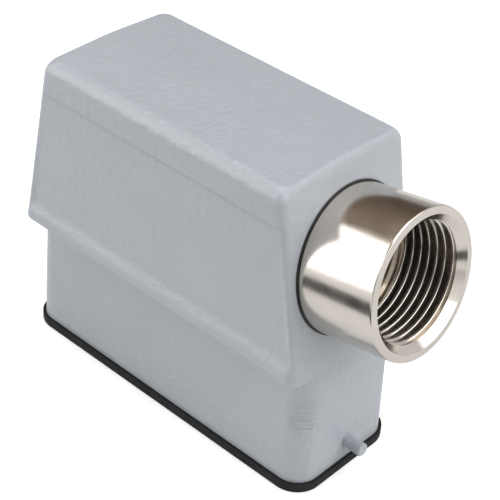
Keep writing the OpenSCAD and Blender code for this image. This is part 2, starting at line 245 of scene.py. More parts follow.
# the upper box's width at the ledge and at the roof
head_wid, top_wid = 35.6, 33.8
# height at which the adapter's axis meets its wall, and how far each end wall's foot is set back
entry_z, entry_set, far_set = 49, 0.5, 0.65
# lean of the end walls, in degrees, and the slope of the lower body's walls
ENTRY_LEAN, FAR_LEAN = 10.3, 9
draft = math.tan(math.radians(1.3))
entry_tan, far_tan = math.tan(math.radians(ENTRY_LEAN)), math.tan(math.radians(FAR_LEAN))
entry_way = Vector((math.cos(math.radians(ENTRY_LEAN)), 0, math.sin(math.radians(ENTRY_LEAN))))
far_way = Vector((-math.cos(math.radians(FAR_LEAN)), 0, math.sin(math.radians(FAR_LEAN))))


def low_x(z):
    return rim_len / 2 - (z - gasket_t) * draft


def low_y(z):
    return rim_wid / 2 - (z - gasket_t) * draft


def head_y(z):
    return head_wid / 2 - (z - ledge_z) * (head_wid - top_wid) / 2 / (top_z - ledge_z)


def entry_x(z):
    return low_x(ledge_z) - entry_set - (z - ledge_z) * entry_tan


def far_x(z):
    return -(low_x(ledge_z) - far_set) + (z - ledge_z) * far_tan


print("upper box at the ledge:", round(far_x(ledge_z), 2), "to", round(entry_x(ledge_z), 2))

# %% [markdown]
# # The lower body
# A drafted box is a cube whose top face is scaled down a little and slid sideways, which is what a
# pattern maker files so that the casting leaves its mould. The lower box then gets wide bevels on
# its four upright edges. Bevels come after the draft, so the corner radius stays the same all the
# way up. The hollows inside are made in the same way later. Last, the leaning planes of the end
# walls cut the top of the box, a hair inside the upper box's own ends, so that the faces never
# lie in each other.

# %% Drafted boxes
# an upright edge climbs more than the first value and leans less than the others
UPRIGHT_RISE, UPRIGHT_X, UPRIGHT_Y = 5, 12, 3
# how far the body's ends stay inside the upper box, and how far its top reaches up into it
HAIR, BODY_OVERLAP = 0.02, 1.25


def drafted(name, z0, z1, ends, half):
    """Box from z0 to z1; ends(z) gives its two X ends and half(z) its half width."""
    (a0, b0), (a1, b1) = ends(z0), ends(z1)
    thing = block(name, (a0, -half(z0), z0), (b0, half(z0), z1))
    choose(thing, "FACE", lambda c, n: n.z > 0.9)
    middle = Vector(((a0 + b0) / 2, 0, z1)) * MM
    shrink = ((b1 - a1) / (b0 - a0), half(z1) / half(z0), 1)
    bpy.ops.transform.resize(value=shrink, center_override=middle)
    bpy.ops.transform.translate(value=Vector((((a1 + b1) - (a0 + b0)) / 2, 0, 0)) * MM)
    done()
    return thing


def upright(a, b):
    """An edge that climbs, however much it leans."""
    gap = (a - b) / MM
    return abs(gap.z) > UPRIGHT_RISE and abs(gap.x) < UPRIGHT_X and abs(gap.y) < UPRIGHT_Y


def lower_body(name, z0, z1, inset, corner, steps=12):
    thing = drafted(name, z0, z1, lambda z: (-low_x(z) + inset, low_x(z) - inset),
                    lambda z: low_y(z) - inset)
    bevel(thing, corner, steps, upright)
    trim(thing, (entry_x(entry_z) - inset / entry_way.x - HAIR, 0, entry_z), entry_way)
    trim(thing, (far_x(entry_z) + inset / -far_way.x + HAIR, 0, entry_z), far_way)
    return thing


lower = lower_body("lower_body", gasket_t, ledge_z + BODY_OVERLAP, 0, rim_r)
print("lower body faces:", len(lower.data.polygons))

# %% [markdown]
# # The shape of the upper box at each height
# The upper box changes all the way up. Its walls lean inwards, its upright edges are rounder near
# the ledge, its long edges are rounded, and its roof has a low ridge. Each long side carries a
# shallow panel: its top is a short step, and at its foot the wall swells out again into a lip over
# the ledge. We describe the box by its outline at any height, with a few radii and one function
# that says how far the panel lies back.

# %% Outline of the upper box
# radii along the ledge, along the roof's long edges, and how far the roof's ends draw in
LEDGE_R, TOP_R, END_TOP_R = 1.4, 2.6, 1.0
# radii of the upright edges at the roof and at the ledge
EDGE_TOP_R, EDGE_FOOT_R = 1.7, 1.8
# heights of the panel's top and of its lip, and the height over which the lip swells out
PANEL_TOP, PANEL_FOOT, PANEL_RAMP = 61.9, 31.35, 3.4
# depths of the panel under its top and over its lip, and the width of the ramps at its sides
PANEL_DEPTH, PANEL_FOOT_DEPTH, PANEL_SIDE = 0.25, 1.05, 1.9
# the roof's ridge is rounded over about this distance
RIDGE_SOFT = 1.5
# how many steps make a corner, an end wall and the middle of a side
ARC_STEPS, END_STEPS, MIDDLE_STEPS = 7, 14, 12
# distances of a side's outer points from its corner, close together where the panel begins
FROM_END = (0.3, 0.6, 0.9, 1.2, 1.6, 2, 2.5, 3, 3.5, 4, 5, 6)
# a margin for tests of place
TOUCH = 0.01


def ease(t):
    """Climbs from nothing at 0 to one at 1, softly at both ends."""
    t = min(max(t, 0), 1)
    return 0.5 - 0.5 * math.cos(math.pi * t)


def panel_push(x, z):
    """How far a point of the side lies behind its border, in millimetres."""
    top = PANEL_TOP - z
    side = min(x - far_x(z), entry_x(z) - x) / PANEL_SIDE
    deeper = (PANEL_FOOT_DEPTH - PANEL_DEPTH) * top / (PANEL_TOP - PANEL_FOOT - PANEL_RAMP)
    return (PANEL_DEPTH + deeper) * ease(top) * ease(side) * ease((z - PANEL_FOOT) / PANEL_RAMP)


def crown(y):
    """Height of the ridged roof over its long edges."""
    reach = math.hypot(head_y(top_z) - TOP_R, RIDGE_SOFT) - RIDGE_SOFT
    return roof_rise * max(0, 1 - (math.hypot(y, RIDGE_SOFT) - RIDGE_SOFT) / reach)


def head_outline(z, end_in, side_in, lift):
    """Points round the box at one height; lift says how much of the roof's crown they have."""
    x0, x1, half = far_x(z) + end_in, entry_x(z) - end_in, head_y(z) - side_in
    r = EDGE_FOOT_R + (EDGE_TOP_R - EDGE_FOOT_R) * (z - ledge_z) / (top_z - ledge_z)
    turn = [math.radians(90 * k / ARC_STEPS) for k in range(ARC_STEPS)]
    first = [(x0 + r - r * math.cos(t), half - r + r * math.sin(t)) for t in turn]
    inner = [x0 + r + d for d in (0,) + FROM_END]
    last = [x1 - r - d for d in (0,) + FROM_END][::-1]
    gap = last[0] - inner[-1]
    middle = [inner[-1] + gap * k / MIDDLE_STEPS for k in range(1, MIDDLE_STEPS)]
    straight = [(x, half) for x in inner + middle + last]
    second = [(x1 - r + r * math.sin(t), half - r + r * math.cos(t)) for t in turn[1:]] + [(x1, half - r)]
    front_side = [(x, -y) for x, y in first + straight + second]
    back_side = [(x, -y) for x, y in front_side[::-1]]
    ends = [(half - r) * (2 * k / END_STEPS - 1) for k in range(1, END_STEPS)]
    ring = front_side + [(x1, y) for y in ends] + back_side + [(x0, -y) for y in ends]
    points = []
    for x, y in ring:
        push = panel_push(x, z) if abs(y) > half - r - TOUCH and side_in == 0 else 0
        points.append(Vector((x, y - math.copysign(push, y), z + lift * crown(y))) * MM)
    return points


print("panel depth under its top:", round(panel_push(0, PANEL_TOP - 1), 2),
      "over its lip:", round(panel_push(0, PANEL_FOOT + PANEL_RAMP), 2))

# %% [markdown]
# # Stack the outlines
# A plain circle of points is extruded upwards once for each height, which gives a tube of unit
# rings. Then every ring is set to the outline that belongs to its height. The heights are close
# together where the wall bends, at the ledge, the lip and the panel's top, and far apart where it
# is flat.

# %% Upper body
# the wall bends below the first height and between the other two
LIP_Z, STEP_LOW_Z, STEP_HIGH_Z = 36, 59, 63
QUARTER_STEPS = 9


def between(low, high, count):
    return [low + (high - low) * k / count for k in range(1, count + 1)]


quarter = [math.radians(90 * k / QUARTER_STEPS) for k in range(QUARTER_STEPS + 1)]
levels = [(ledge_z + LEDGE_R * (1 - math.sin(t)), 0, LEDGE_R * (1 - math.cos(t)), 0)
          for t in quarter[::-1]]
heights = between(ledge_z + LEDGE_R, LIP_Z, 24) + between(LIP_Z, STEP_LOW_Z, 6)
heights += between(STEP_LOW_Z, STEP_HIGH_Z, 20) + between(STEP_HIGH_Z, top_z - TOP_R, 2)
levels += [(z, 0, 0, 0) for z in heights]
levels += [(top_z - TOP_R * (1 - math.sin(t)), END_TOP_R * (1 - math.cos(t)),
            TOP_R * (1 - math.cos(t)), math.sin(t)) for t in quarter[1:]]
rings = [head_outline(*level) for level in levels]
around = len(rings[0])
bpy.ops.object.select_all(action="DESELECT")
bpy.ops.mesh.primitive_circle_add(vertices=around, radius=1)
head = bpy.context.object
head.name = "head"
choose(head, "VERT", lambda v: True)
for _ in rings[1:]:
    bpy.ops.mesh.extrude_region_move(TRANSFORM_OT_translate={"value": (0, 0, 1)})
done()
start = math.atan2(head.data.vertices[0].co.y, head.data.vertices[0].co.x)
for v in head.data.vertices:
    place_in_ring = (math.atan2(v.co.y, v.co.x) - start) / (2 * math.pi) * around
    v.co = rings[round(v.co.z)][round(place_in_ring) % around]
print("outlines:", len(rings), "points in each:", around)

# %% [markdown]
# # Close the upper box
# The foot is flat, so one face closes it. The roof follows a ridge, so it needs rows of points
# across: the two long edges of the last outline are bridged by a grid, and the grid's new points
# are lifted to the crown. They then meet the points of the two short ends and are merged with
# them.

# %% Foot and roof
top_ring = {tuple(round(c / MM, 3) for c in point) for point in rings[-1]}


def on_top(v):
    """Tells whether a point belongs to the last outline."""
    return v.z > (top_z - TOUCH) * MM and tuple(round(c / MM, 3) for c in v) in top_ring


choose(head, "VERT", lambda v: abs(v.z - ledge_z * MM) < SAME)
bpy.ops.mesh.edge_face_add()
done()
chosen = choose(head, "EDGE", lambda a, b: on_top(a) and on_top(b) and abs(a.x - b.x) > SAME)
bpy.ops.mesh.bridge_edge_loops(number_cuts=END_STEPS - 1, interpolation="LINEAR")
done()
for v in head.data.vertices[len(rings) * around:]:
    v.co.z = (top_z + crown(v.co.y / MM)) * MM
choose(head, "VERT", lambda v: True)
bpy.ops.mesh.remove_doubles(threshold=MERGE)
bpy.ops.mesh.normals_make_consistent(inside=False)
done()
print("roof edges:", chosen, "faces:", len(head.data.polygons))

# %% [markdown]
# # One hollow casting
# The two boxes are joined, and the inside is cut out with slightly smaller drafted boxes, so that
# the walls come out even. The inside needs none of the outside's fine shape, because a casting's
# core is plainer than its mould.

# %% Join and hollow
# how far the lower hollow passes the rim and runs up into the upper one, whose edges have a radius
HOLLOW_DOWN, HOLLOW_UP, HOLLOW_R = 1, 1, 1.2
# the long edges round the upper hollow's top lie above this height
HIGH_EDGE = 40


def head_edge(a, b):
    """The upper hollow's upright edges and the long ones round its top."""
    high = min(a.z, b.z) > HIGH_EDGE * MM
    return upright(a, b) or high and max(abs(a.z - b.z), abs(a.x - b.x)) > UPRIGHT_RISE * MM


hood = combine(lower, head, "UNION")
hood.name = "hood"
low_hollow = lower_body("low_hollow", gasket_t - HOLLOW_DOWN, ledge_z + wall + HOLLOW_UP, wall,
                        rim_r - wall, 6)
combine(hood, low_hollow, "DIFFERENCE")
head_hollow = drafted("head_hollow", ledge_z + wall, top_z - wall,
                      lambda z: (far_x(z) + wall / -far_way.x, entry_x(z) - wall / entry_way.x),
                      lambda z: head_y(z) - wall)
bevel(head_hollow, HOLLOW_R, 3, head_edge)
combine(hood, head_hollow, "DIFFERENCE")
print("hollow hood faces:", len(hood.data.polygons))

# %% [markdown]
# # Bosses, entry and pegs
# Four bosses with webs carry the insert, a thick ring backs the cable entry, and a locking peg
# stands on each end wall. All of them are cast in one with the walls, so they are joined and not
# laid on. The entry's frame of axes stands square on the leaning end wall; the adapter and its
# seal use the same frame later.

# %% Cast details
BOSS_X, BOSS_Y, BOSS_R, BOSS_LOW, BOSS_HIGH, BOSS_EDGE = 24.75, 8, 3.1, 16, 27, 0.3
WEB_HALF, WEB_LOW, WEB_OUT = 1.5, 17, 12.4
SCREW_R, SCREW_TIP = 1.5, 23
# heights on the entry's axis count outwards from the end wall
ENTRY_R, ENTRY_BACK, ENTRY_FRONT = 12.5, -8, 3
ENTRY_RING_R, ENTRY_RING_BACK, ENTRY_RING_FRONT = 14.6, -6.5, -1.25
# a peg stands out beyond the rim and starts inside the wall
PEG_Z, PEG_R, PEG_OUT, PEG_ROOT, PEG_EDGE = 6.5, 1.4, 4.25, 1.2, 0.35
SMALL_SIDES, HOLE_SIDES, ENTRY_SIDES = 40, 32, 96
entry_turn = Matrix.Rotation(math.radians(90 - ENTRY_LEAN), 4, "Y")
entry_frame = move(entry_x(entry_z), 0, entry_z) @ entry_turn
for sx in (-1, 1):
    for sy in (-1, 1):
        x, y, out = sx * BOSS_X, sy * BOSS_Y, sy * WEB_OUT
        boss = place(rod("boss", BOSS_R, BOSS_LOW, BOSS_HIGH, SMALL_SIDES), move(x, y, 0))
        bevel(boss, BOSS_EDGE, 2, lambda a, b: abs(a.z - b.z) < SAME)
        web = block("web", (x - WEB_HALF, min(y, out), WEB_LOW), (x + WEB_HALF, max(y, out), BOSS_HIGH))
        combine(boss, web, "UNION")
        combine(hood, boss, "UNION")
        screw_hole = rod("hole", SCREW_R, BOSS_LOW - 1, SCREW_TIP, HOLE_SIDES)
        combine(hood, place(screw_hole, move(x, y, 0)), "DIFFERENCE")
entry_ring = rod("entry_ring", ENTRY_RING_R, ENTRY_RING_BACK, ENTRY_RING_FRONT, ENTRY_SIDES)
combine(hood, place(entry_ring, entry_frame), "UNION")
entry_hole = rod("entry_hole", ENTRY_R, ENTRY_BACK, ENTRY_FRONT, ENTRY_SIDES)
combine(hood, place(entry_hole, entry_frame), "DIFFERENCE")
for side in (-1, 1):
    peg = rod("peg", PEG_R, low_x(PEG_Z) - PEG_ROOT, rim_len / 2 + PEG_OUT, SMALL_SIDES)
    bevel(peg, PEG_EDGE, 4, lambda a, b: min(a.z, b.z) > rim_len / 2 * MM)
    lay = Matrix.Rotation(math.radians(90 * side), 4, "Y")
    combine(hood, place(peg, move(0, 0, PEG_Z) @ lay), "UNION")
soften(hood, 40)
print("cast hood faces:", len(hood.data.polygons))

# %% [markdown]
# # The adapter's sleeve
# The adapter is turned from bar, so its form is a profile spun round an axis. A closed ring of
# points gives the profile, and the Screw modifier turns it into a sleeve. The small slopes at the
# profile's corners are the broken edges that the lathe tool leaves.

# %% Spin a profile
SPIN_STEPS = 128


def spun(name, profile):
    """A closed ring of profile points (radius, height) in millimetres, turned round Z."""
    bpy.ops.object.select_all(action="DESELECT")
    bpy.ops.mesh.primitive_circle_add(vertices=len(profile), radius=1 * MM)
    thing = bpy.context.object
    thing.name = name
    for v, (r, h) in zip(thing.data.vertices, profile):
        v.co = Vector((r, 0, h)) * MM
    only(thing)
    bpy.ops.object.modifier_add(type="SCREW")
    turn = thing.modifiers[-1]
    turn.axis, turn.angle = "Z", 2 * math.pi
    turn.steps = turn.render_steps = SPIN_STEPS
    turn.use_merge_vertices, turn.merge_threshold = True, SAME
    bpy.ops.object.modifier_apply(modifier=turn.name)
    choose(thing, "FACE", lambda c, n: True)
    bpy.ops.mesh.normals_make_consistent(inside=False)
    done()
    return thing


# the sleeve, the narrow passage behind its bore, and the height of the step between them
ADAPTER_R, ADAPTER_LEN, PASSAGE_R, BORE_FOOT = 14.7, 16.85, 10.4, 1.85
# the spigot that passes through the wall, and the seal ring between the wall and the sleeve
SPIGOT_R, SPIGOT_LEN, SEAL_R, SEAL_T = 12.45, 8, 15.0, 0.3
# the thread's crests, roots and pitch, and the radius and depth of the sunk mouth
CREST_R, ROOT_R, PITCH, MOUTH_R, SINK = 11.6, 12.9, 1.814, 13.0, 1.6
inside = [(MOUTH_R + 0.1, ADAPTER_LEN), (MOUTH_R, ADAPTER_LEN - 0.1), (CREST_R, ADAPTER_LEN - SINK),
          (CREST_R, BORE_FOOT), (PASSAGE_R, BORE_FOOT)]
spigot = [(PASSAGE_R, -SPIGOT_LEN), (SPIGOT_R - 0.5, -SPIGOT_LEN), (SPIGOT_R, 0.5 - SPIGOT_LEN),
          (SPIGOT_R, SEAL_T)]
outside = [(ADAPTER_R - 0.25, SEAL_T), (ADAPTER_R - 0.08, SEAL_T + 0.07), (ADAPTER_R, SEAL_T + 0.25),
           (ADAPTER_R, ADAPTER_LEN - 0.45), (ADAPTER_R - 0.08, ADAPTER_LEN - 0.15),
           (ADAPTER_R - 0.35, ADAPTER_LEN)]
sleeve = spun("adapter", spigot + outside + inside)
print("sleeve faces:", len(sleeve.data.polygons))

# %% [markdown]
# # The thread
# A thread is cut by a tool that moves one pitch along the axis for each turn. The Screw modifier
# does the same: a profile of one pitch is turned and lifted, again and again, and the copies join
# into one long helical surface. Closed at both ends it is a plug with the thread on its outside,
# and taking it away from the sleeve leaves the thread inside. Its crests are rounded, because a
# rounded crest carries the thin bright line that makes a thread read as metal.

# %% Cut the thread
THREAD_LOW, THREAD_HIGH, THREAD_STEPS = 2.3, 15.4, 96
# height of the chain's last point; a short flat crest fills the rest of the pitch
CHAIN_END = 1.74


def thread_plug(low, high):
    """A plug with a right hand thread on it, between two heights in the bore."""
    deep, crest = ROOT_R - 0.08, CREST_R - 0.02
    chain = [(crest, 0), (crest, 0.1), (crest + 0.04, 0.19), (crest + 0.14, 0.27), (deep, 0.80),
             (ROOT_R, 0.92), (deep, 1.04), (crest + 0.14, 1.57), (crest + 0.04, 1.65), (crest, CHAIN_END)]
    bpy.ops.object.select_all(action="DESELECT")
    bpy.ops.mesh.primitive_circle_add(vertices=len(chain), radius=1 * MM)
    plug = bpy.context.object
    plug.name = "thread_plug"
    for v, (r, h) in zip(plug.data.vertices, chain):
        v.co = Vector((r, 0, h)) * MM
    # the edge that closes the circle spans nearly a whole pitch; without it the chain is open
    choose(plug, "EDGE", lambda a, b: abs(a.z - b.z) > CHAIN_END / 2 * MM)
    bpy.ops.mesh.delete(type="EDGE")
    done()
    choose(plug, "VERT", lambda v: v.z > (CHAIN_END - TOUCH) * MM)
    bpy.ops.mesh.extrude_region_move(TRANSFORM_OT_translate={"value": (0, 0, (PITCH - CHAIN_END) * MM)})
    done()
    only(plug)
    bpy.ops.object.modifier_add(type="SCREW")
    lift = plug.modifiers[-1]
    lift.axis, lift.angle, lift.screw_offset = "Z", 2 * math.pi, PITCH * MM
    # a few turns more than needed, so that both ends can be trimmed flat
    lift.iterations = int((high - low) / PITCH) + 3
    lift.steps = lift.render_steps = THREAD_STEPS
    lift.use_merge_vertices, lift.merge_threshold = True, SAME
    bpy.ops.object.modifier_apply(modifier=lift.name)
    choose(plug, "VERT", lambda v: True)
    bpy.ops.mesh.remove_doubles(threshold=MERGE)
    bpy.ops.transform.translate(value=(0, 0, (low - 1.5 * PITCH) * MM))
    done()
    trim(plug, (0, 0, low), (0, 0, -1))
    trim(plug, (0, 0, high), (0, 0, 1))
    choose(plug, "FACE", lambda c, n: True)
    bpy.ops.mesh.normals_make_consistent(inside=False)
    done()
    return plug


combine(sleeve, thread_plug(THREAD_LOW, THREAD_HIGH), "DIFFERENCE")
soften(place(sleeve, entry_frame), 35)
print("threaded sleeve faces:", len(sleeve.data.polygons))

# %% [markdown]
# # The seal ring
# A thin black ring is pressed between the adapter and the end wall. It shows as a dark line round
# the sleeve, a little wider than the sleeve itself.

# %% Seal ring
SEAL_IN, SEAL_EDGE = 12.55, 0.05
seal = spun("seal_ring", [(SEAL_IN, 0), (SEAL_R - SEAL_EDGE, 0), (SEAL_R, SEAL_EDGE),
                          (SEAL_R, SEAL_T - SEAL_EDGE), (SEAL_R - SEAL_EDGE, SEAL_T), (SEAL_IN, SEAL_T)])
soften(place(seal, entry_frame), 40)
print("seal ring faces:", len(seal.data.polygons))

# %% [markdown]
# # The rim gasket
# The gasket is a flat rubber frame that stands a little proud of the wall all round. It is a plate
# with rounded corners, and a smaller plate of the same kind is cut out of its middle. A small
# bevel rounds the outer edge of its lower face, as moulded rubber has it.

# %% Gasket
# how far the gasket stands out from the rim and reaches in under it, and its rounded lip
PROUD, INWARD, LIP_R = 0.7, 2.3, 0.35
# the cutter for the opening passes through the gasket, and its own edges are left sharp
CUT_LOW, CUT_HIGH, BESIDE = -1, 4, 0.1


def plate(name, grow, low, high, steps):
    """A plate with the rim's outline, grown all round by a distance."""
    half_x, half_y = rim_len / 2 + grow, rim_wid / 2 + grow
    thing = block(name, (-half_x, -half_y, low), (half_x, half_y, high))
    bevel(thing, rim_r + grow, steps, lambda a, b: abs(a.z - b.z) > 1 * MM)
    return thing


def outer_low_edge(a, b):
    """Edges of the lower face that don't belong to the opening."""
    opening_x, opening_y = rim_len / 2 - INWARD + BESIDE, rim_wid / 2 - INWARD + BESIDE
    outside = abs(a.x) > opening_x * MM or abs(a.y) > opening_y * MM
    return abs(a.z - b.z) < TOUCH * MM and a.z < gasket_t / 2 * MM and outside


gasket = plate("gasket", PROUD, 0, gasket_t, 12)
opening = plate("opening", -INWARD, CUT_LOW, CUT_HIGH, 8)
combine(gasket, opening, "DIFFERENCE")
bevel(gasket, LIP_R, 3, outer_low_edge)
soften(gasket, 40)
print("gasket faces:", len(gasket.data.polygons))

# %% [markdown]
# # Finishes
# Each finish is a small node tree on Object coordinates, so a grain keeps its true size on every
# piece. One helper makes a noise at a given grain in millimetres, because nearly all real
# surfaces differ only in how coarse, how deep and how glossy such a grain is.

# %% Node helpers
NOISE_LOW, NOISE_HIGH = 0.3, 0.7


def new_material(name):
    mat = bpy.data.materials.new(name)
    mat.use_nodes = True
    return mat, mat.node_tree, mat.node_tree.nodes["Principled BSDF"]


def here(tree):
    """The point's own place on its piece, in metres."""
    return tree.nodes.new("ShaderNodeTexCoord").outputs["Object"]


def grain(tree, size, detail):
    """Noise whose lumps are about the given size in millimetres."""
    noise = tree.nodes.new("ShaderNodeTexNoise")
    noise.inputs["Scale"].default_value = 1000 / (2 * size)
    noise.inputs["Detail"].default_value = detail
    tree.links.new(here(tree), noise.inputs["Vector"])
    return noise.outputs["Fac"]


def spread(tree, value, low, high):
    """Maps a noise to a range of numbers."""
    node = tree.nodes.new("ShaderNodeMapRange")
    node.inputs["From Min"].default_value = NOISE_LOW
    node.inputs["From Max"].default_value = NOISE_HIGH
    node.inputs["To Min"].default_value = low
    node.inputs["To Max"].default_value = high
    tree.links.new(value, node.inputs["Value"])
    return node.outputs["Result"]


def tints(tree, value, dark, pale):
    """Maps a noise to a blend of two colours."""
    node = tree.nodes.new("ShaderNodeValToRGB")
    low, high = node.color_ramp.elements
    low.position, low.color = NOISE_LOW, (*dark, 1)
    high.position, high.color = NOISE_HIGH, (*pale, 1)
    tree.links.new(value, node.inputs["Fac"])
    return node.outputs["Color"]


def calc(tree, kind, *values):
    """A Math node; each value is a number or the output of another node."""
    node = tree.nodes.new("ShaderNodeMath")
    node.operation = kind
    for socket, value in zip(node.inputs, values):
        if isinstance(value, (int, float)):
            socket.default_value = value
        else:
            tree.links.new(value, socket)
    return node.outputs[0]


def mixed(tree, share, first, second):
    """Blends a colour output with a plain colour; share says how much of the plain one shows."""
    node = tree.nodes.new("ShaderNodeMix")
    node.data_type = "RGBA"
    first_socket, second_socket = node.inputs[6], node.inputs[7]
    tree.links.new(share, node.inputs["Factor"])
    tree.links.new(first, first_socket)
    second_socket.default_value = (*second, 1)
    return node.outputs[2]


def relief(tree, shader, layers):
    """Stacks bumps; each layer is (height output, depth in millimetres)."""
    last = None
    for height, depth in layers:
        bump = tree.nodes.new("ShaderNodeBump")
        bump.inputs["Distance"].default_value = depth * MM
        tree.links.new(height, bump.inputs["Height"])
        if last:
            tree.links.new(last, bump.inputs["Normal"])
        last = bump.outputs["Normal"]
    tree.links.new(last, shader.inputs["Normal"])


# %% [markdown]
# # Where on the piece
# Some marks belong to one place. A coordinate's distance from a middle value gives a soft band,
# and the product of several bands gives a soft box on the piece.

# %% Bands on a piece
def near(tree, axis, middle, flat, fade):
    """One close to a middle value of a coordinate, falling to nothing; all in millimetres."""
    spot = tree.nodes.new("ShaderNodeSeparateXYZ")
    tree.links.new(here(tree), spot.inputs["Vector"])
    fall = tree.nodes.new("ShaderNodeMapRange")
    fall.interpolation_type = "SMOOTHSTEP"
    fall.inputs["From Min"].default_value = flat * MM
    fall.inputs["From Max"].default_value = (flat + fade) * MM
    fall.inputs["To Min"].default_value = 1
    fall.inputs["To Max"].default_value = 0
    away = calc(tree, "ABSOLUTE", calc(tree, "SUBTRACT", spot.outputs[axis], middle * MM))
    tree.links.new(away, fall.inputs["Value"])
    return fall.outputs["Result"]


def beyond(tree, axis, flat, fade):
    """One far from the middle plane of the part, falling to nothing near it."""
    return calc(tree, "SUBTRACT", 1, near(tree, axis, 0, flat, fade))


def times(tree, first, *others):
    """The product of two or more values."""
    for other in others:
        first = calc(tree, "MULTIPLY", first, other)
    return first


# %% [markdown]
# # Powder coat
# Powder flows as it cures but never quite level. It keeps an orange peel: soft lumps under a
# millimetre across, with a finer ripple over them. The colour is even, with the faintest cloud.
# Two marks of the casting show through it. Along the step at the top of each panel the coat lies
# A mark of the casting shows through it: the rounded upright corners of the lower body carry faint
# level lines, which a Wave texture repeats at an even distance. Along the step at the top of each
# panel the colour is darkened in a narrow band, a painted shade in place of the step's own shadow.

# %% Paint
# painted shade along each panel's top step: its colour, and how much of it shows at the band's middle
CREASE_SHADE_TONE, CREASE_SHADE_SHARE = (0.345, 0.372, 0.405), 0.9
# where the marks lie, in millimetres: axis, middle, half width and fade, and the side faces alone
CREASE_SHADE_BANDS, CREASE_SHADE_SIDES = (("Z", 61.35, 0.05, 0.7), ("X", -1, 29, 3)), ("Y", 15.4, 0.6)
LINE_BANDS, LINE_SIDES = (("Z", 19, 2.5, 3), ("X", 39, 4, 4)), ("Y", 8, 3)
# a wave's scale in Blender, which gives a line about every millimetre, its waver and its depth
LINE_SCALE, LINE_WOBBLE, LINE_DEPTH = 299, 0.6, 0.16
# size and depth of the lumps and of the finer ripple, in millimetres
PEEL, FINE = (0.7, 0.24), (0.22, 0.03)
paint, tree, shader = new_material("hood_paint")
cloud = tints(tree, grain(tree, 9, 2), (0.410, 0.438, 0.474), (0.426, 0.454, 0.490))
# the painted shade: a soft darker band along each panel's top step, on the long sides alone
painted_crease_shade = times(tree, *(near(tree, *band) for band in CREASE_SHADE_BANDS), beyond(tree, *CREASE_SHADE_SIDES),
               CREASE_SHADE_SHARE)
tree.links.new(mixed(tree, painted_crease_shade, cloud, CREASE_SHADE_TONE), shader.inputs["Base Color"])
tree.links.new(spread(tree, grain(tree, 2.5, 2), 0.32, 0.40), shader.inputs["Roughness"])
shader.inputs["Specular IOR Level"].default_value = 0.7
ripple = tree.nodes.new("ShaderNodeTexWave")
ripple.bands_direction = "Z"
ripple.inputs["Scale"].default_value = LINE_SCALE
ripple.inputs["Distortion"].default_value = LINE_WOBBLE
tree.links.new(here(tree), ripple.inputs["Vector"])
cast_lines = times(tree, ripple.outputs["Fac"], *(near(tree, *band) for band in LINE_BANDS),
                   beyond(tree, *LINE_SIDES))
peel_layers = [(grain(tree, size, 2), depth) for size, depth in (PEEL, FINE)]
relief(tree, shader, peel_layers + [(cast_lines, LINE_DEPTH)])
print("paint nodes:", len(tree.nodes))

# %% [markdown]
# # Nickel plate
# Bright nickel is a warm mirror. What makes it look turned and handled is a slight change of gloss
# and tone from place to place, over a surface that is never perfectly even.

# %% Nickel
nickel, tree, shader = new_material("nickel_plate")
shader.inputs["Metallic"].default_value = 1
nickel_tone = tints(tree, grain(tree, 4, 3), (0.65, 0.606, 0.552), (0.70, 0.653, 0.598))
tree.links.new(nickel_tone, shader.inputs["Base Color"])
tree.links.new(spread(tree, grain(tree, 1.5, 3), 0.15, 0.21), shader.inputs["Roughness"])
relief(tree, shader, [(grain(tree, 0.5, 2), 0.004)])
print("nickel nodes:", len(tree.nodes))

# %% [markdown]
# # Rubber, plastic and small metal
# The other pieces are small, dark or hidden, so they share one recipe: a slight change of tone, a
# slight change of gloss and a fine grain. Only the numbers differ.

# %% Plain finishes
GLOSS_SPREAD = 0.06


def plain_finish(name, dark, pale, rough, metal, lump, depth):
    """A finish with two tones, a mean roughness and lumps of a size and depth in millimetres."""
    mat, tree, shader = new_material(name)
    gloss = spread(tree, grain(tree, 1.2, 3), rough - GLOSS_SPREAD, rough + GLOSS_SPREAD)
    shader.inputs["Metallic"].default_value = metal
    tree.links.new(tints(tree, grain(tree, 3, 3), dark, pale), shader.inputs["Base Color"])
    tree.links.new(gloss, shader.inputs["Roughness"])
    relief(tree, shader, [(grain(tree, lump, 2), depth)])
    return mat


finishes = {"hood_paint": paint, "nickel_plate": nickel}
for name, dark, pale, rough, metal, lump, depth in (
        ("gasket_rubber", (0.009, 0.009, 0.010), (0.016, 0.016, 0.017), 0.6, 0, 0.3, 0.02),
        ("seal_rubber", (0.010, 0.010, 0.010), (0.016, 0.016, 0.016), 0.5, 0, 0.3, 0.015),
        ("insert_plastic", (0.50, 0.50, 0.47), (0.56, 0.56, 0.53), 0.45, 0, 0.35, 0.012),
        ("contact_plate", (0.74, 0.73, 0.70), (0.84, 0.83, 0.80), 0.22, 1, 0.3, 0.004),
        ("earth_plate", (0.66, 0.62, 0.52), (0.74, 0.70, 0.60), 0.3, 1, 0.3, 0.006),
        ("steel_zinc", (0.55, 0.56, 0.58), (0.66, 0.67, 0.69), 0.32, 1, 0.25, 0.006)):
    finishes[name] = plain_finish(name, dark, pale, rough, metal, lump, depth)
rubber_shader = finishes["gasket_rubber"].node_tree.nodes["Principled BSDF"]
rubber_shader.inputs["Specular IOR Level"].default_value = 0.25
print("finishes:", sorted(finishes))

# %% [markdown]
# # Dress the frame
# The small solids keep their CAD form. Each one gets the finish of its own material slot. The four
# pieces that were modelled here take the places of their solids.

# %% Give every node its finish
slot_of = {part["node"]: part["material_slot"] for part in frame["record"]["subparts"]}
for name, node in nodes.items():
    node.data.materials.clear()
    node.data.materials.append(finishes[slot_of[name]])
finish_piece(hood, ["hood_shell"], paint)
finish_piece(sleeve, ["cable_entry_adapter"], nickel)
finish_piece(gasket, ["rim_gasket"], finishes["gasket_rubber"])
finish_piece(seal, ["adapter_seal_ring"], finishes["seal_rubber"])

# %% [markdown]
# # Floor
# The object stands on a plain pale floor. To the camera the floor also glows a little, so that it
# runs into the white background, while it lights the object no more than a pale floor does.

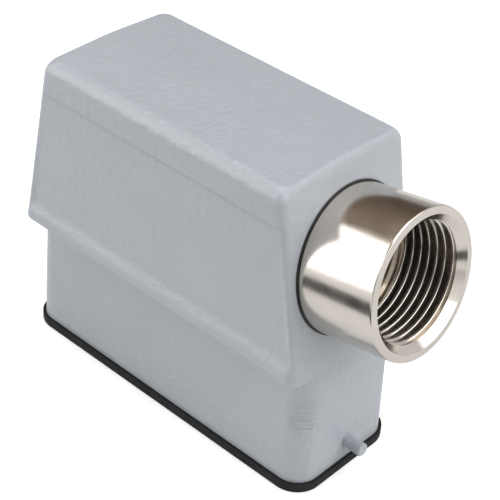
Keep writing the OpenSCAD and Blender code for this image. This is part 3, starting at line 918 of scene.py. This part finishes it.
# %% Floor
FLOOR_SIZE, FLOOR_Z, FLOOR_TONE, CAMERA_GLOW = 6, -0.00005, 0.80, 0.5
bpy.ops.object.select_all(action="DESELECT")
bpy.ops.mesh.primitive_plane_add(size=FLOOR_SIZE, location=(0, 0, FLOOR_Z))
floor = bpy.context.object
floor.name = "floor"
floor_mat, tree, shader = new_material("floor_white")
shader.inputs["Base Color"].default_value = (FLOOR_TONE, FLOOR_TONE, FLOOR_TONE, 1)
shader.inputs["Roughness"].default_value = 0.9
rays = tree.nodes.new("ShaderNodeLightPath")
glow = tree.nodes.new("ShaderNodeEmission")
glow.inputs["Color"].default_value = (1, 1, 1, 1)
tree.links.new(calc(tree, "MULTIPLY", rays.outputs["Is Camera Ray"], CAMERA_GLOW), glow.inputs["Strength"])
both = tree.nodes.new("ShaderNodeAddShader")
tree.links.new(shader.outputs[0], both.inputs[0])
tree.links.new(glow.outputs[0], both.inputs[1])
tree.links.new(both.outputs[0], tree.nodes["Material Output"].inputs["Surface"])
floor.data.materials.append(floor_mat)
print("floor size in metres:", FLOOR_SIZE)

# %% [markdown]
# # A dark strip for the metal
# Photographers lay a dark strip beside polished metal, because a thin dark line in a white
# reflection is what makes it read as a round mirror. It only shows in reflections.

# %% Strip
STRIP_X, STRIP_Y, STRIP_TURN = -19, -129, 17.3
STRIP_CORNER, STRIP_FOOT, STRIP_TOP = (600, 38), 0.1, 0.3
half_len, half_wid = STRIP_CORNER
strip = block("dark_strip", (-half_len, -half_wid, STRIP_FOOT), (half_len, half_wid, STRIP_TOP))
place(strip, move(STRIP_X, STRIP_Y, 0) @ Matrix.Rotation(math.radians(STRIP_TURN), 4, "Z"))
strip_mat, tree, shader = new_material("strip_black")
shader.inputs["Base Color"].default_value = (0.02, 0.02, 0.02, 1)
shader.inputs["Roughness"].default_value = 0.9
strip.data.materials.append(strip_mat)
strip.visible_camera = strip.visible_diffuse = strip.visible_shadow = False
print("strip turned by", STRIP_TURN, "degrees")

# %% [markdown]
# # Lamps
# Three large soft lamps light the object. A low one on the left makes the broad white band on the
# sleeve, a large one on the right lights the end wall and the mouth, and one overhead lights the
# roof and catches the rounded top edges. Each is given by the direction it stands in and by its
# brightness per area, because that is what a reflection shows.

# %% Soft boxes
AIM = Vector((0, 0, 0.035))


def heading(azimuth_deg, elevation_deg):
    """A direction; azimuth counts from +X towards +Y."""
    a, e = math.radians(azimuth_deg), math.radians(elevation_deg)
    return math.cos(a) * math.cos(e), math.sin(a) * math.cos(e), math.sin(e)


def lamp(name, way, distance, size, radiance):
    """A soft square lamp, aimed at the object from a direction; lengths in metres."""
    place_at = AIM + unit(way) * distance
    bpy.ops.object.select_all(action="DESELECT")
    bpy.ops.object.light_add(type="AREA", location=place_at)
    light = bpy.context.object
    light.name = name
    light.data.shape, light.data.size = "SQUARE", size
    light.data.energy = math.pi * size * size * radiance
    light.rotation_euler = (AIM - place_at).to_track_quat("-Z", "Y").to_euler()
    return light


for name, way, distance, size, radiance in (("left_soft", heading(-137, 21), 1.6, 1.60, 2.3),
                                            ("right_soft", heading(16, 41), 1.6, 2.0, 2.22),
                                            ("top_soft", heading(168, 76), 1.75, 1.16, 2.75)):
    light = lamp(name, way, distance, size, radiance)
    print(light.name, "watts:", round(light.data.energy, 1))

# %% [markdown]
# # The room
# To the camera the room is plain white, and it adds a little even light. Bright metal shows the
# room it stands in, so for reflections alone it has walls: pale low down, dim and warm higher up,
# with two soft bright patches, where a photographer would set white cards.

# %% Room
# brightness of the room as a lamp and as the camera sees it
FILL, SEEN = 0.145, 1.0
# a patch fades out over this many degrees on both sides of its edge
PATCH_SOFT = 8
world = bpy.data.worlds.new("room")
bpy.context.scene.world = world
world.use_nodes = True
tree = world.node_tree
sky = tree.nodes["Background"]
sky.inputs["Color"].default_value = (1, 1, 1, 1)
rays = tree.nodes.new("ShaderNodeLightPath")
lit = tree.nodes.new("ShaderNodeMapRange")
lit.inputs["To Min"].default_value = FILL
lit.inputs["To Max"].default_value = SEEN
tree.links.new(rays.outputs["Is Camera Ray"], lit.inputs["Value"])
tree.links.new(lit.outputs["Result"], sky.inputs["Strength"])
way = tree.nodes.new("ShaderNodeTexCoord")
height = tree.nodes.new("ShaderNodeSeparateXYZ")
tree.links.new(way.outputs["Generated"], height.inputs["Vector"])
walls = tree.nodes.new("ShaderNodeValToRGB")
foot, low_wall = walls.color_ramp.elements
foot.position, foot.color = 0.0, (0.52, 0.52, 0.52, 1)
low_wall.position, low_wall.color = 0.12, (0.42, 0.41, 0.40, 1)
for level, shade in ((0.20, (0.09, 0.07, 0.055)), (0.45, (0.12, 0.09, 0.07)),
                     (0.70, (0.22, 0.17, 0.125)), (1.0, (0.3, 0.26, 0.22))):
    walls.color_ramp.elements.new(level).color = (*shade, 1)
tree.links.new(height.outputs["Z"], walls.inputs["Fac"])
shown = walls.outputs["Color"]
for patch_way, half_angle, shade in ((heading(-38, 30), 24, 0.9), (heading(83, 12), 30, 0.75)):
    toward = tree.nodes.new("ShaderNodeVectorMath")
    toward.operation = "DOT_PRODUCT"
    toward.inputs[1].default_value = patch_way
    tree.links.new(way.outputs["Generated"], toward.inputs[0])
    soft = tree.nodes.new("ShaderNodeMapRange")
    soft.inputs["From Min"].default_value = math.cos(math.radians(half_angle + PATCH_SOFT))
    soft.inputs["From Max"].default_value = math.cos(math.radians(half_angle - PATCH_SOFT))
    tree.links.new(toward.outputs["Value"], soft.inputs["Value"])
    shown = mixed(tree, soft.outputs["Result"], shown, (shade, shade, shade))
room = tree.nodes.new("ShaderNodeBackground")
tree.links.new(shown, room.inputs["Color"])
pick = tree.nodes.new("ShaderNodeMixShader")
tree.links.new(rays.outputs["Is Glossy Ray"], pick.inputs["Fac"])
tree.links.new(sky.outputs[0], pick.inputs[1])
tree.links.new(room.outputs[0], pick.inputs[2])
tree.links.new(pick.outputs[0], tree.nodes["World Output"].inputs["Surface"])
bpy.context.scene.view_settings.view_transform = "Standard"
print("room nodes:", len(tree.nodes))
